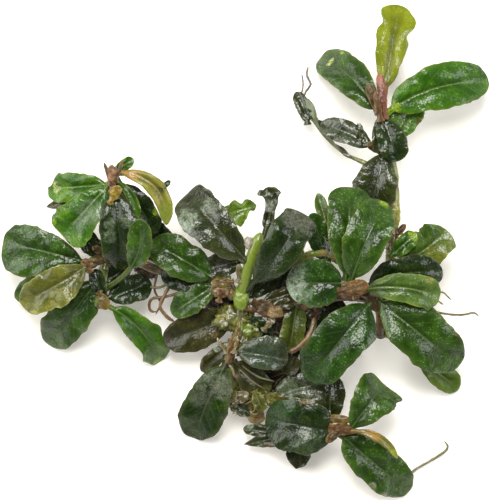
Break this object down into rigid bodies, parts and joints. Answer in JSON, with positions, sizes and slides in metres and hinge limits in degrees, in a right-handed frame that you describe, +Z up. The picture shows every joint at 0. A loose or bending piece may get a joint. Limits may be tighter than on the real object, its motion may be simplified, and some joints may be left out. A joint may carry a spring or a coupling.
{
  "type": "bucephalandra plant",
  "caption": "Loose bare-root clump of a small aquarium plant: wavy oval leaves on creeping stems with root mats, lying flat.",
  "frame": {"origin": "under the middle of the clump's outline, on the surface that it lies on", "axes": "+Z up, away from the surface; +X along the clump towards its two-rosette side; +Y towards the single upright shoot's tip"},
  "size_m": [0.0979, 0.0992, 0.023],
  "materials": {
    "leaf": "glossy waxy dark green leaf with fine pale specks",
    "young_leaf": "satin translucent yellow-green young leaf",
    "rhizome": "ringed brown rhizome, satin",
    "green_stem": "smooth lime green stem, satin",
    "root": "fine tangled tan roots, matte"
  },
  "bodies": {
    "root": {"bottom_leaf_1": "leaf", "bottom_leaf_2": "leaf", "bottom_leaf_3": "leaf", "bottom_leaf_4": "leaf", "bottom_leaf_5": "leaf", "bottom_leaf_6": "young_leaf", "bottom_leaf_7": "leaf", "bottom_stem": "rhizome", "centre_leaf_1": "leaf", "centre_leaf_2": "leaf", "centre_leaf_3": "leaf", "centre_leaf_4": "leaf", "centre_leaf_5": "leaf", "centre_leaf_6": "leaf", "centre_leaf_7": "leaf", "green_stem": "green_stem", "left_leaf_1": "leaf", "left_leaf_2": "young_leaf", "left_leaf_3": "leaf", "left_leaf_4": "leaf", "left_root_mat": "root", "lower_leaf_1": "leaf", "lower_leaf_2": "leaf", "lower_leaf_3": "leaf", "lower_leaf_4": "leaf", "lower_leaf_5": "leaf", "lower_stem": "rhizome", "middle_left_leaf_1": "leaf", "middle_left_leaf_2": "leaf", "middle_left_leaf_3": "leaf", "middle_left_stem": "rhizome", "rhizome_left": "rhizome", "rhizome_right": "rhizome", "right_leaf_1": "leaf", "right_leaf_10": "leaf", "right_leaf_2": "leaf", "right_leaf_3": "leaf", "right_leaf_4": "young_leaf", "right_leaf_5": "young_leaf", "right_leaf_6": "leaf", "right_leaf_7": "leaf", "right_leaf_8": "leaf", "right_leaf_9": "leaf", "right_stem": "rhizome", "root_mat": "root", "upper_left_leaf_1": "leaf", "upper_left_leaf_2": "leaf", "upper_left_leaf_3": "leaf", "upper_left_leaf_4": "young_leaf", "upper_left_leaf_5": "leaf", "upper_left_stem": "rhizome", "upper_right_leaf_1": "young_leaf", "upper_right_leaf_2": "leaf", "upper_right_leaf_3": "leaf", "upper_right_leaf_4": "leaf", "upper_right_leaf_5": "leaf", "upper_right_leaf_6": "leaf", "upper_right_leaf_7": "leaf", "upper_right_leaf_8": "leaf", "upper_right_stem": "green_stem"}
  },
  "joints": []
}
